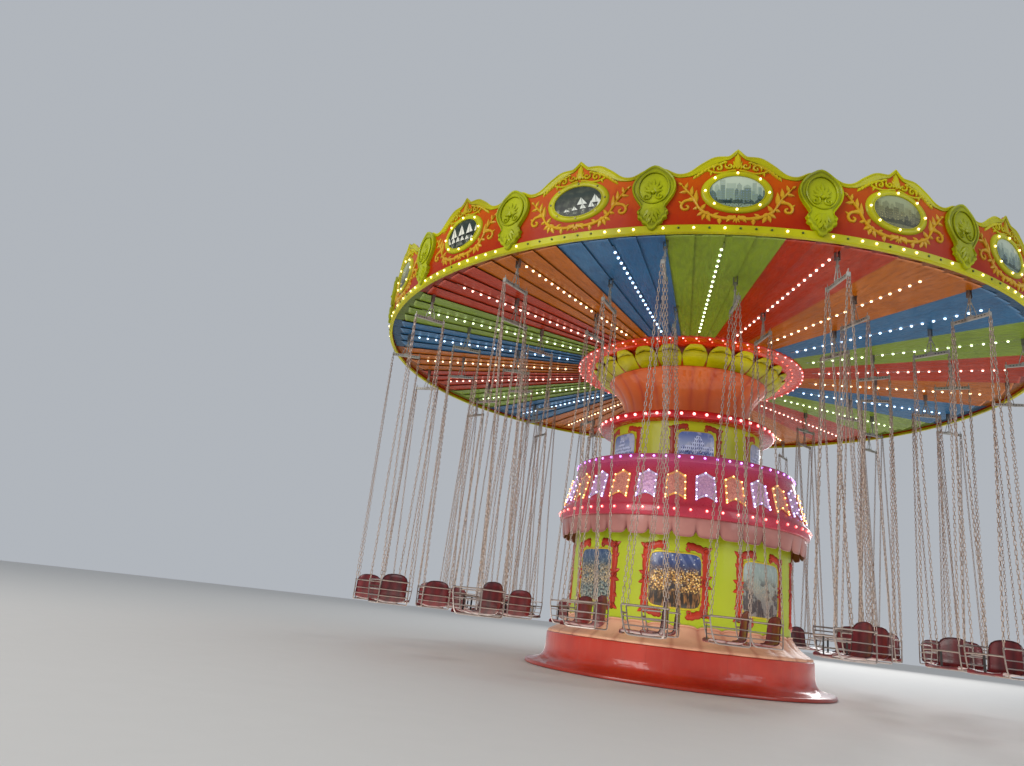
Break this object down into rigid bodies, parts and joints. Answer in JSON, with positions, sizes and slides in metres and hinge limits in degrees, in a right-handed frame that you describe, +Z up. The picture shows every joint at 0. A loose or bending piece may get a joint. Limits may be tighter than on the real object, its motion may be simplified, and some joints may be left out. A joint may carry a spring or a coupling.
{
  "type": "chair swing ride",
  "caption": "Chair swing ride with a decorated telescoping column and a turning canopy that carries rings of hanging chairs.",
  "frame": {"origin": "centre of the plinth's underside, on the ground", "axes": "+Z up along the column; -Y is the side that the picture shows"},
  "size_m": [11.254, 11.254, 6.46],
  "materials": {
    "plinth_red": "gloss red paint",
    "drum_lime": "gloss yellow-green paint with gold relief",
    "valance_pink": "satin salmon pink",
    "band_crimson": "gloss crimson",
    "collar_red": "gloss red",
    "cone_orange": "gloss orange lacquer",
    "petal_lime": "gloss yellow-green",
    "crown_scarlet": "satin scarlet",
    "ceiling_panels": "gloss lapped panels in four colours",
    "board_scarlet": "painted and gilded relief",
    "roof_sheet": "weathered sheet",
    "chair_seat": "deep red moulded shell",
    "gold_relief": "satin gold relief",
    "lamp_glass": "small frosted lamp caps",
    "picture": "varnished painted pictures",
    "chair_steel": "galvanised tube and sheet"
  },
  "bodies": {
    "base": {"base_plinth": "plinth_red", "lower_drum": "drum_lime", "scalloped_valance": "valance_pink", "sloped_band": "band_crimson"},
    "mast": {"upper_drum": "drum_lime", "lamp_collar": "collar_red"},
    "canopy": {"flared_cone": "cone_orange", "petal_ring": "petal_lime", "crown_ring": "crown_scarlet", "ceiling_panels": "ceiling_panels", "rounding_boards": "board_scarlet", "roof_cover": "roof_sheet"},
    "outer_chair_01_body": {"outer_chair_01": "chair_steel"},
    "outer_chair_02_body": {"outer_chair_02": "chair_steel"},
    "outer_chair_03_body": {"outer_chair_03": "chair_steel"},
    "outer_chair_04_body": {"outer_chair_04": "chair_steel"},
    "outer_chair_05_body": {"outer_chair_05": "chair_steel"},
    "outer_chair_06_body": {"outer_chair_06": "chair_steel"},
    "outer_chair_07_body": {"outer_chair_07": "chair_steel"},
    "outer_chair_08_body": {"outer_chair_08": "chair_steel"},
    "outer_chair_09_body": {"outer_chair_09": "chair_steel"},
    "outer_chair_10_body": {"outer_chair_10": "chair_steel"},
    "outer_chair_11_body": {"outer_chair_11": "chair_steel"},
    "outer_chair_12_body": {"outer_chair_12": "chair_steel"},
    "outer_chair_13_body": {"outer_chair_13": "chair_steel"},
    "outer_chair_14_body": {"outer_chair_14": "chair_steel"},
    "outer_chair_15_body": {"outer_chair_15": "chair_steel"},
    "outer_chair_16_body": {"outer_chair_16": "chair_steel"},
    "middle_chair_01_body": {"middle_chair_01": "chair_steel"},
    "middle_chair_02_body": {"middle_chair_02": "chair_steel"},
    "middle_chair_03_body": {"middle_chair_03": "chair_steel"},
    "middle_chair_04_body": {"middle_chair_04": "chair_steel"},
    "middle_chair_05_body": {"middle_chair_05": "chair_steel"},
    "middle_chair_06_body": {"middle_chair_06": "chair_steel"},
    "middle_chair_07_body": {"middle_chair_07": "chair_steel"},
    "middle_chair_08_body": {"middle_chair_08": "chair_steel"},
    "middle_chair_09_body": {"middle_chair_09": "chair_steel"},
    "middle_chair_10_body": {"middle_chair_10": "chair_steel"},
    "middle_chair_11_body": {"middle_chair_11": "chair_steel"},
    "middle_chair_12_body": {"middle_chair_12": "chair_steel"},
    "middle_chair_13_body": {"middle_chair_13": "chair_steel"},
    "middle_chair_14_body": {"middle_chair_14": "chair_steel"},
    "middle_chair_15_body": {"middle_chair_15": "chair_steel"},
    "middle_chair_16_body": {"middle_chair_16": "chair_steel"},
    "inner_chair_01_body": {"inner_chair_01": "chair_steel"},
    "inner_chair_02_body": {"inner_chair_02": "chair_steel"},
    "inner_chair_03_body": {"inner_chair_03": "chair_steel"},
    "inner_chair_04_body": {"inner_chair_04": "chair_steel"},
    "inner_chair_05_body": {"inner_chair_05": "chair_steel"},
    "inner_chair_06_body": {"inner_chair_06": "chair_steel"},
    "inner_chair_07_body": {"inner_chair_07": "chair_steel"},
    "inner_chair_08_body": {"inner_chair_08": "chair_steel"},
    "inner_chair_09_body": {"inner_chair_09": "chair_steel"},
    "inner_chair_10_body": {"inner_chair_10": "chair_steel"},
    "inner_chair_11_body": {"inner_chair_11": "chair_steel"},
    "inner_chair_12_body": {"inner_chair_12": "chair_steel"},
    "inner_chair_13_body": {"inner_chair_13": "chair_steel"},
    "inner_chair_14_body": {"inner_chair_14": "chair_steel"},
    "inner_chair_15_body": {"inner_chair_15": "chair_steel"},
    "inner_chair_16_body": {"inner_chair_16": "chair_steel"}
  },
  "joints": [
    {"name": "mast_lift", "type": "slide", "parent": "base", "child": "mast", "axis": [0, 0, 1], "range_m": [0, 2]},
    {"name": "canopy_spin", "type": "hinge", "parent": "mast", "child": "canopy", "pos_m": [0, 0, 4.285], "axis": [0, 0, 1], "continuous": true},
    {"name": "outer_chair_01_swing", "type": "hinge", "parent": "canopy", "child": "outer_chair_01_body", "pos_m": [0, -5.284, 5.3], "axis": [-1, 0, 0], "range_deg": [-5, 45]},
    {"name": "outer_chair_02_swing", "type": "hinge", "parent": "canopy", "child": "outer_chair_02_body", "pos_m": [2.0221, -4.88178, 5.3], "axis": [-0.9239, -0.3827, 0], "range_deg": [-5, 45]},
    {"name": "outer_chair_03_swing", "type": "hinge", "parent": "canopy", "child": "outer_chair_03_body", "pos_m": [3.73635, -3.73635, 5.3], "axis": [-0.7071, -0.7071, 0], "range_deg": [-5, 45]},
    {"name": "outer_chair_04_swing", "type": "hinge", "parent": "canopy", "child": "outer_chair_04_body", "pos_m": [4.88178, -2.0221, 5.3], "axis": [-0.3827, -0.9239, 0], "range_deg": [-5, 45]},
    {"name": "outer_chair_05_swing", "type": "hinge", "parent": "canopy", "child": "outer_chair_05_body", "pos_m": [5.284, 0, 5.3], "axis": [0, -1, 0], "range_deg": [-5, 45]},
    {"name": "outer_chair_06_swing", "type": "hinge", "parent": "canopy", "child": "outer_chair_06_body", "pos_m": [4.88178, 2.0221, 5.3], "axis": [0.3827, -0.9239, 0], "range_deg": [-5, 45]},
    {"name": "outer_chair_07_swing", "type": "hinge", "parent": "canopy", "child": "outer_chair_07_body", "pos_m": [3.73635, 3.73635, 5.3], "axis": [0.7071, -0.7071, 0], "range_deg": [-5, 45]},
    {"name": "outer_chair_08_swing", "type": "hinge", "parent": "canopy", "child": "outer_chair_08_body", "pos_m": [2.0221, 4.88178, 5.3], "axis": [0.9239, -0.3827, 0], "range_deg": [-5, 45]},
    {"name": "outer_chair_09_swing", "type": "hinge", "parent": "canopy", "child": "outer_chair_09_body", "pos_m": [0, 5.284, 5.3], "axis": [1, 0, 0], "range_deg": [-5, 45]},
    {"name": "outer_chair_10_swing", "type": "hinge", "parent": "canopy", "child": "outer_chair_10_body", "pos_m": [-2.0221, 4.88178, 5.3], "axis": [0.9239, 0.3827, 0], "range_deg": [-5, 45]},
    {"name": "outer_chair_11_swing", "type": "hinge", "parent": "canopy", "child": "outer_chair_11_body", "pos_m": [-3.73635, 3.73635, 5.3], "axis": [0.7071, 0.7071, 0], "range_deg": [-5, 45]},
    {"name": "outer_chair_12_swing", "type": "hinge", "parent": "canopy", "child": "outer_chair_12_body", "pos_m": [-4.88178, 2.0221, 5.3], "axis": [0.3827, 0.9239, 0], "range_deg": [-5, 45]},
    {"name": "outer_chair_13_swing", "type": "hinge", "parent": "canopy", "child": "outer_chair_13_body", "pos_m": [-5.284, 0, 5.3], "axis": [0, 1, 0], "range_deg": [-5, 45]},
    {"name": "outer_chair_14_swing", "type": "hinge", "parent": "canopy", "child": "outer_chair_14_body", "pos_m": [-4.88178, -2.0221, 5.3], "axis": [-0.3827, 0.9239, 0], "range_deg": [-5, 45]},
    {"name": "outer_chair_15_swing", "type": "hinge", "parent": "canopy", "child": "outer_chair_15_body", "pos_m": [-3.73635, -3.73635, 5.3], "axis": [-0.7071, 0.7071, 0], "range_deg": [-5, 45]},
    {"name": "outer_chair_16_swing", "type": "hinge", "parent": "canopy", "child": "outer_chair_16_body", "pos_m": [-2.0221, -4.88178, 5.3], "axis": [-0.9239, 0.3827, 0], "range_deg": [-5, 45]},
    {"name": "middle_chair_01_swing", "type": "hinge", "parent": "canopy", "child": "middle_chair_01_body", "pos_m": [0.84084, -4.22719, 5.3], "axis": [-0.9808, -0.1951, 0], "range_deg": [-4.5, 40.5]},
    {"name": "middle_chair_02_swing", "type": "hinge", "parent": "canopy", "child": "middle_chair_02_body", "pos_m": [2.39451, -3.58363, 5.3], "axis": [-0.8315, -0.5556, 0], "range_deg": [-4.5, 40.5]},
    {"name": "middle_chair_03_swing", "type": "hinge", "parent": "canopy", "child": "middle_chair_03_body", "pos_m": [3.58363, -2.39451, 5.3], "axis": [-0.5556, -0.8315, 0], "range_deg": [-4.5, 40.5]},
    {"name": "middle_chair_04_swing", "type": "hinge", "parent": "canopy", "child": "middle_chair_04_body", "pos_m": [4.22719, -0.84084, 5.3], "axis": [-0.1951, -0.9808, 0], "range_deg": [-4.5, 40.5]},
    {"name": "middle_chair_05_swing", "type": "hinge", "parent": "canopy", "child": "middle_chair_05_body", "pos_m": [4.22719, 0.84084, 5.3], "axis": [0.1951, -0.9808, 0], "range_deg": [-4.5, 40.5]},
    {"name": "middle_chair_06_swing", "type": "hinge", "parent": "canopy", "child": "middle_chair_06_body", "pos_m": [3.58363, 2.39451, 5.3], "axis": [0.5556, -0.8315, 0], "range_deg": [-4.5, 40.5]},
    {"name": "middle_chair_07_swing", "type": "hinge", "parent": "canopy", "child": "middle_chair_07_body", "pos_m": [2.39451, 3.58363, 5.3], "axis": [0.8315, -0.5556, 0], "range_deg": [-4.5, 40.5]},
    {"name": "middle_chair_08_swing", "type": "hinge", "parent": "canopy", "child": "middle_chair_08_body", "pos_m": [0.84084, 4.22719, 5.3], "axis": [0.9808, -0.1951, 0], "range_deg": [-4.5, 40.5]},
    {"name": "middle_chair_09_swing", "type": "hinge", "parent": "canopy", "child": "middle_chair_09_body", "pos_m": [-0.84084, 4.22719, 5.3], "axis": [0.9808, 0.1951, 0], "range_deg": [-4.5, 40.5]},
    {"name": "middle_chair_10_swing", "type": "hinge", "parent": "canopy", "child": "middle_chair_10_body", "pos_m": [-2.39451, 3.58363, 5.3], "axis": [0.8315, 0.5556, 0], "range_deg": [-4.5, 40.5]},
    {"name": "middle_chair_11_swing", "type": "hinge", "parent": "canopy", "child": "middle_chair_11_body", "pos_m": [-3.58363, 2.39451, 5.3], "axis": [0.5556, 0.8315, 0], "range_deg": [-4.5, 40.5]},
    {"name": "middle_chair_12_swing", "type": "hinge", "parent": "canopy", "child": "middle_chair_12_body", "pos_m": [-4.22719, 0.84084, 5.3], "axis": [0.1951, 0.9808, 0], "range_deg": [-4.5, 40.5]},
    {"name": "middle_chair_13_swing", "type": "hinge", "parent": "canopy", "child": "middle_chair_13_body", "pos_m": [-4.22719, -0.84084, 5.3], "axis": [-0.1951, 0.9808, 0], "range_deg": [-4.5, 40.5]},
    {"name": "middle_chair_14_swing", "type": "hinge", "parent": "canopy", "child": "middle_chair_14_body", "pos_m": [-3.58363, -2.39451, 5.3], "axis": [-0.5556, 0.8315, 0], "range_deg": [-4.5, 40.5]},
    {"name": "middle_chair_15_swing", "type": "hinge", "parent": "canopy", "child": "middle_chair_15_body", "pos_m": [-2.39451, -3.58363, 5.3], "axis": [-0.8315, 0.5556, 0], "range_deg": [-4.5, 40.5]},
    {"name": "middle_chair_16_swing", "type": "hinge", "parent": "canopy", "child": "middle_chair_16_body", "pos_m": [-0.84084, -4.22719, 5.3], "axis": [-0.9808, 0.1951, 0], "range_deg": [-4.5, 40.5]},
    {"name": "inner_chair_01_swing", "type": "hinge", "parent": "canopy", "child": "inner_chair_01_body", "pos_m": [0, -3.253, 5.3], "axis": [-1, 0, 0], "range_deg": [-4, 36]},
    {"name": "inner_chair_02_swing", "type": "hinge", "parent": "canopy", "child": "inner_chair_02_body", "pos_m": [1.24487, -3.00538, 5.3], "axis": [-0.9239, -0.3827, 0], "range_deg": [-4, 36]},
    {"name": "inner_chair_03_swing", "type": "hinge", "parent": "canopy", "child": "inner_chair_03_body", "pos_m": [2.30022, -2.30022, 5.3], "axis": [-0.7071, -0.7071, 0], "range_deg": [-4, 36]},
    {"name": "inner_chair_04_swing", "type": "hinge", "parent": "canopy", "child": "inner_chair_04_body", "pos_m": [3.00538, -1.24487, 5.3], "axis": [-0.3827, -0.9239, 0], "range_deg": [-4, 36]},
    {"name": "inner_chair_05_swing", "type": "hinge", "parent": "canopy", "child": "inner_chair_05_body", "pos_m": [3.253, 0, 5.3], "axis": [0, -1, 0], "range_deg": [-4, 36]},
    {"name": "inner_chair_06_swing", "type": "hinge", "parent": "canopy", "child": "inner_chair_06_body", "pos_m": [3.00538, 1.24487, 5.3], "axis": [0.3827, -0.9239, 0], "range_deg": [-4, 36]},
    {"name": "inner_chair_07_swing", "type": "hinge", "parent": "canopy", "child": "inner_chair_07_body", "pos_m": [2.30022, 2.30022, 5.3], "axis": [0.7071, -0.7071, 0], "range_deg": [-4, 36]},
    {"name": "inner_chair_08_swing", "type": "hinge", "parent": "canopy", "child": "inner_chair_08_body", "pos_m": [1.24487, 3.00538, 5.3], "axis": [0.9239, -0.3827, 0], "range_deg": [-4, 36]},
    {"name": "inner_chair_09_swing", "type": "hinge", "parent": "canopy", "child": "inner_chair_09_body", "pos_m": [0, 3.253, 5.3], "axis": [1, 0, 0], "range_deg": [-4, 36]},
    {"name": "inner_chair_10_swing", "type": "hinge", "parent": "canopy", "child": "inner_chair_10_body", "pos_m": [-1.24487, 3.00538, 5.3], "axis": [0.9239, 0.3827, 0], "range_deg": [-4, 36]},
    {"name": "inner_chair_11_swing", "type": "hinge", "parent": "canopy", "child": "inner_chair_11_body", "pos_m": [-2.30022, 2.30022, 5.3], "axis": [0.7071, 0.7071, 0], "range_deg": [-4, 36]},
    {"name": "inner_chair_12_swing", "type": "hinge", "parent": "canopy", "child": "inner_chair_12_body", "pos_m": [-3.00538, 1.24487, 5.3], "axis": [0.3827, 0.9239, 0], "range_deg": [-4, 36]},
    {"name": "inner_chair_13_swing", "type": "hinge", "parent": "canopy", "child": "inner_chair_13_body", "pos_m": [-3.253, 0, 5.3], "axis": [0, 1, 0], "range_deg": [-4, 36]},
    {"name": "inner_chair_14_swing", "type": "hinge", "parent": "canopy", "child": "inner_chair_14_body", "pos_m": [-3.00538, -1.24487, 5.3], "axis": [-0.3827, 0.9239, 0], "range_deg": [-4, 36]},
    {"name": "inner_chair_15_swing", "type": "hinge", "parent": "canopy", "child": "inner_chair_15_body", "pos_m": [-2.30022, -2.30022, 5.3], "axis": [-0.7071, 0.7071, 0], "range_deg": [-4, 36]},
    {"name": "inner_chair_16_swing", "type": "hinge", "parent": "canopy", "child": "inner_chair_16_body", "pos_m": [-1.24487, -3.00538, 5.3], "axis": [-0.9239, 0.3827, 0], "range_deg": [-4, 36]}
  ],
  "couplings": [
    {"joint": "outer_chair_02_swing", "follows": "outer_chair_01_swing", "ratio": 1},
    {"joint": "outer_chair_03_swing", "follows": "outer_chair_01_swing", "ratio": 1},
    {"joint": "outer_chair_04_swing", "follows": "outer_chair_01_swing", "ratio": 1},
    {"joint": "outer_chair_05_swing", "follows": "outer_chair_01_swing", "ratio": 1},
    {"joint": "outer_chair_06_swing", "follows": "outer_chair_01_swing", "ratio": 1},
    {"joint": "outer_chair_07_swing", "follows": "outer_chair_01_swing", "ratio": 1},
    {"joint": "outer_chair_08_swing", "follows": "outer_chair_01_swing", "ratio": 1},
    {"joint": "outer_chair_09_swing", "follows": "outer_chair_01_swing", "ratio": 1},
    {"joint": "outer_chair_10_swing", "follows": "outer_chair_01_swing", "ratio": 1},
    {"joint": "outer_chair_11_swing", "follows": "outer_chair_01_swing", "ratio": 1},
    {"joint": "outer_chair_12_swing", "follows": "outer_chair_01_swing", "ratio": 1},
    {"joint": "outer_chair_13_swing", "follows": "outer_chair_01_swing", "ratio": 1},
    {"joint": "outer_chair_14_swing", "follows": "outer_chair_01_swing", "ratio": 1},
    {"joint": "outer_chair_15_swing", "follows": "outer_chair_01_swing", "ratio": 1},
    {"joint": "outer_chair_16_swing", "follows": "outer_chair_01_swing", "ratio": 1},
    {"joint": "middle_chair_01_swing", "follows": "outer_chair_01_swing", "ratio": 0.9},
    {"joint": "middle_chair_02_swing", "follows": "outer_chair_01_swing", "ratio": 0.9},
    {"joint": "middle_chair_03_swing", "follows": "outer_chair_01_swing", "ratio": 0.9},
    {"joint": "middle_chair_04_swing", "follows": "outer_chair_01_swing", "ratio": 0.9},
    {"joint": "middle_chair_05_swing", "follows": "outer_chair_01_swing", "ratio": 0.9},
    {"joint": "middle_chair_06_swing", "follows": "outer_chair_01_swing", "ratio": 0.9},
    {"joint": "middle_chair_07_swing", "follows": "outer_chair_01_swing", "ratio": 0.9},
    {"joint": "middle_chair_08_swing", "follows": "outer_chair_01_swing", "ratio": 0.9},
    {"joint": "middle_chair_09_swing", "follows": "outer_chair_01_swing", "ratio": 0.9},
    {"joint": "middle_chair_10_swing", "follows": "outer_chair_01_swing", "ratio": 0.9},
    {"joint": "middle_chair_11_swing", "follows": "outer_chair_01_swing", "ratio": 0.9},
    {"joint": "middle_chair_12_swing", "follows": "outer_chair_01_swing", "ratio": 0.9},
    {"joint": "middle_chair_13_swing", "follows": "outer_chair_01_swing", "ratio": 0.9},
    {"joint": "middle_chair_14_swing", "follows": "outer_chair_01_swing", "ratio": 0.9},
    {"joint": "middle_chair_15_swing", "follows": "outer_chair_01_swing", "ratio": 0.9},
    {"joint": "middle_chair_16_swing", "follows": "outer_chair_01_swing", "ratio": 0.9},
    {"joint": "inner_chair_01_swing", "follows": "outer_chair_01_swing", "ratio": 0.8},
    {"joint": "inner_chair_02_swing", "follows": "outer_chair_01_swing", "ratio": 0.8},
    {"joint": "inner_chair_03_swing", "follows": "outer_chair_01_swing", "ratio": 0.8},
    {"joint": "inner_chair_04_swing", "follows": "outer_chair_01_swing", "ratio": 0.8},
    {"joint": "inner_chair_05_swing", "follows": "outer_chair_01_swing", "ratio": 0.8},
    {"joint": "inner_chair_06_swing", "follows": "outer_chair_01_swing", "ratio": 0.8},
    {"joint": "inner_chair_07_swing", "follows": "outer_chair_01_swing", "ratio": 0.8},
    {"joint": "inner_chair_08_swing", "follows": "outer_chair_01_swing", "ratio": 0.8},
    {"joint": "inner_chair_09_swing", "follows": "outer_chair_01_swing", "ratio": 0.8},
    {"joint": "inner_chair_10_swing", "follows": "outer_chair_01_swing", "ratio": 0.8},
    {"joint": "inner_chair_11_swing", "follows": "outer_chair_01_swing", "ratio": 0.8},
    {"joint": "inner_chair_12_swing", "follows": "outer_chair_01_swing", "ratio": 0.8},
    {"joint": "inner_chair_13_swing", "follows": "outer_chair_01_swing", "ratio": 0.8},
    {"joint": "inner_chair_14_swing", "follows": "outer_chair_01_swing", "ratio": 0.8},
    {"joint": "inner_chair_15_swing", "follows": "outer_chair_01_swing", "ratio": 0.8},
    {"joint": "inner_chair_16_swing", "follows": "outer_chair_01_swing", "ratio": 0.8}
  ]
}
